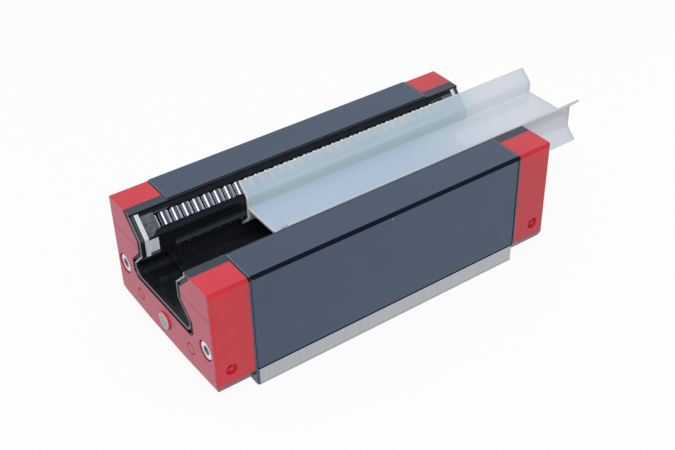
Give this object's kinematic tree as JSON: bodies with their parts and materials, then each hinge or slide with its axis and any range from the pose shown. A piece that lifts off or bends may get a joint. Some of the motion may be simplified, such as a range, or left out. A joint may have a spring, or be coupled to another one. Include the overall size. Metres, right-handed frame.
{
  "type": "linear guide carriage",
  "caption": "Long roller carriage for a profiled guide rail, with steel body, end caps, seals, recirculating roller circuits and a plastic assembly rail.",
  "frame": {"origin": "centre of the mounting face, on the middle of the four mounting threads", "axes": "+X along the rail, towards the end the assembly rail leaves by; +Y across, away from the ground reference strip; +Z from the mounting face into the rail channel"},
  "size_m": [0.2211, 0.086, 0.0582],
  "materials": {
    "coated_steel": "dark blue-grey satin coat on steel, bare ground strip on one side",
    "red_cap": "red moulded plastic, fine satin",
    "black_plastic": "black moulded plastic",
    "seal_rubber": "black seal, satin",
    "grey_guide": "grey slightly translucent plastic",
    "white_plastic": "white plastic",
    "tube_plastic": "natural plastic",
    "roller_steel": "ground bearing steel",
    "screw_steel": "zinc plated steel",
    "plug_plastic": "cream plastic",
    "milky_plastic": "milky translucent plastic"
  },
  "bodies": {
    "carriage": {"carriage_body": "coated_steel", "end_cap_front": "red_cap", "end_cap_rear": "red_cap", "end_plate_front": "black_plastic", "end_plate_rear": "black_plastic", "end_seal_front": "seal_rubber", "end_seal_rear": "seal_rubber", "roller_guide_front_left": "grey_guide", "roller_guide_front_right": "grey_guide", "roller_guide_rear_left": "grey_guide", "roller_guide_rear_right": "grey_guide", "guide_cover_front_left": "white_plastic", "guide_cover_front_right": "white_plastic", "guide_cover_rear_left": "white_plastic", "guide_cover_rear_right": "white_plastic", "waist_retainer_left": "black_plastic", "waist_retainer_right": "black_plastic", "leg_seal_left": "seal_rubber", "leg_seal_right": "seal_rubber", "floor_retainer_left": "black_plastic", "floor_retainer_right": "black_plastic", "return_tube_upper_left": "tube_plastic", "return_tube_upper_right": "tube_plastic", "return_tube_lower_left": "tube_plastic", "return_tube_lower_right": "tube_plastic", "cap_screws_front": "screw_steel", "cap_screws_rear": "screw_steel", "lube_plug_front": "plug_plastic", "lube_plug_rear": "plug_plastic"},
    "assembly_rail": {"assembly_rail": "milky_plastic"},
    "load_rollers_upper_left": {"load_rollers_upper_left": "roller_steel"},
    "return_rollers_upper_left": {"return_rollers_upper_left": "roller_steel"},
    "front_turn_upper_left": {"front_turn_upper_left": "roller_steel"},
    "rear_turn_upper_left": {"rear_turn_upper_left": "roller_steel"},
    "load_rollers_upper_right": {"load_rollers_upper_right": "roller_steel"},
    "return_rollers_upper_right": {"return_rollers_upper_right": "roller_steel"},
    "front_turn_upper_right": {"front_turn_upper_right": "roller_steel"},
    "rear_turn_upper_right": {"rear_turn_upper_right": "roller_steel"},
    "load_rollers_lower_left": {"load_rollers_lower_left": "roller_steel"},
    "return_rollers_lower_left": {"return_rollers_lower_left": "roller_steel"},
    "front_turn_lower_left": {"front_turn_lower_left": "roller_steel"},
    "rear_turn_lower_left": {"rear_turn_lower_left": "roller_steel"},
    "load_rollers_lower_right": {"load_rollers_lower_right": "roller_steel"},
    "return_rollers_lower_right": {"return_rollers_lower_right": "roller_steel"},
    "front_turn_lower_right": {"front_turn_lower_right": "roller_steel"},
    "rear_turn_lower_right": {"rear_turn_lower_right": "roller_steel"}
  },
  "joints": [
    {"name": "assembly_rail_slide", "type": "slide", "parent": "carriage", "child": "assembly_rail", "axis": [1, 0, 0], "range_m": [-0.19, 0.097]},
    {"name": "load_slide_upper_left", "type": "slide", "parent": "carriage", "child": "load_rollers_upper_left", "axis": [1, 0, 0], "range_m": [-0.0043, 0.00095]},
    {"name": "return_slide_upper_left", "type": "slide", "parent": "carriage", "child": "return_rollers_upper_left", "axis": [1, 0, 0], "range_m": [-0.00097, 0.00432]},
    {"name": "front_turn_hinge_upper_left", "type": "hinge", "parent": "carriage", "child": "front_turn_upper_left", "pos_m": [-0.0735, 0.02789, 0.04424], "axis": [0, 0.7071, 0.7071], "range_deg": [-24.69, 5.54]},
    {"name": "rear_turn_hinge_upper_left", "type": "hinge", "parent": "carriage", "child": "rear_turn_upper_left", "pos_m": [0.0735, 0.02789, 0.04424], "axis": [0, 0.7071, 0.7071], "range_deg": [-24.69, 5.54]},
    {"name": "load_slide_upper_right", "type": "slide", "parent": "carriage", "child": "load_rollers_upper_right", "axis": [1, 0, 0], "range_m": [-0.0021, 0.00315]},
    {"name": "return_slide_upper_right", "type": "slide", "parent": "carriage", "child": "return_rollers_upper_right", "axis": [1, 0, 0], "range_m": [-0.00317, 0.00212]},
    {"name": "front_turn_hinge_upper_right", "type": "hinge", "parent": "carriage", "child": "front_turn_upper_right", "pos_m": [-0.0735, -0.02789, 0.04424], "axis": [0, 0.7071, -0.7071], "range_deg": [-12.11, 18.11]},
    {"name": "rear_turn_hinge_upper_right", "type": "hinge", "parent": "carriage", "child": "rear_turn_upper_right", "pos_m": [0.0735, -0.02789, 0.04424], "axis": [0, 0.7071, -0.7071], "range_deg": [-12.11, 18.11]},
    {"name": "load_slide_lower_left", "type": "slide", "parent": "carriage", "child": "load_rollers_lower_left", "axis": [1, 0, 0], "range_m": [-0.0048, 0.00045]},
    {"name": "return_slide_lower_left", "type": "slide", "parent": "carriage", "child": "return_rollers_lower_left", "axis": [1, 0, 0], "range_m": [-0.00047, 0.00482]},
    {"name": "front_turn_hinge_lower_left", "type": "hinge", "parent": "carriage", "child": "front_turn_lower_left", "pos_m": [-0.07087, 0.02434, 0.04051], "axis": [0, -0.7071, 0.7071], "range_deg": [-55.09, 5.37]},
    {"name": "rear_turn_hinge_lower_left", "type": "hinge", "parent": "carriage", "child": "rear_turn_lower_left", "pos_m": [0.07087, 0.02434, 0.04051], "axis": [0, -0.7071, 0.7071], "range_deg": [-55.09, 5.37]},
    {"name": "load_slide_lower_right", "type": "slide", "parent": "carriage", "child": "load_rollers_lower_right", "axis": [1, 0, 0], "range_m": [-0.0029, 0.00235]},
    {"name": "return_slide_lower_right", "type": "slide", "parent": "carriage", "child": "return_rollers_lower_right", "axis": [1, 0, 0], "range_m": [-0.00237, 0.00292]},
    {"name": "front_turn_hinge_lower_right", "type": "hinge", "parent": "carriage", "child": "front_turn_lower_right", "pos_m": [-0.07087, -0.02434, 0.04051], "axis": [0, -0.7071, -0.7071], "range_deg": [-33.37, 27.09]},
    {"name": "rear_turn_hinge_lower_right", "type": "hinge", "parent": "carriage", "child": "rear_turn_lower_right", "pos_m": [0.07087, -0.02434, 0.04051], "axis": [0, -0.7071, -0.7071], "range_deg": [-33.37, 27.09]}
  ],
  "couplings": [
    {"joint": "return_slide_upper_left", "follows": "load_slide_upper_left", "ratio": -1},
    {"joint": "front_turn_hinge_upper_left", "follows": "load_slide_upper_left", "rad_per_m": 99.733},
    {"joint": "rear_turn_hinge_upper_left", "follows": "load_slide_upper_left", "rad_per_m": 99.733},
    {"joint": "return_slide_upper_right", "follows": "load_slide_upper_right", "ratio": -1},
    {"joint": "front_turn_hinge_upper_right", "follows": "load_slide_upper_right", "rad_per_m": 99.733},
    {"joint": "rear_turn_hinge_upper_right", "follows": "load_slide_upper_right", "rad_per_m": 99.733},
    {"joint": "return_slide_lower_left", "follows": "load_slide_lower_left", "ratio": -1},
    {"joint": "front_turn_hinge_lower_left", "follows": "load_slide_lower_left", "rad_per_m": 199.47},
    {"joint": "rear_turn_hinge_lower_left", "follows": "load_slide_lower_left", "rad_per_m": 199.47},
    {"joint": "return_slide_lower_right", "follows": "load_slide_lower_right", "ratio": -1},
    {"joint": "front_turn_hinge_lower_right", "follows": "load_slide_lower_right", "rad_per_m": 199.47},
    {"joint": "rear_turn_hinge_lower_right", "follows": "load_slide_lower_right", "rad_per_m": 199.47}
  ]
}
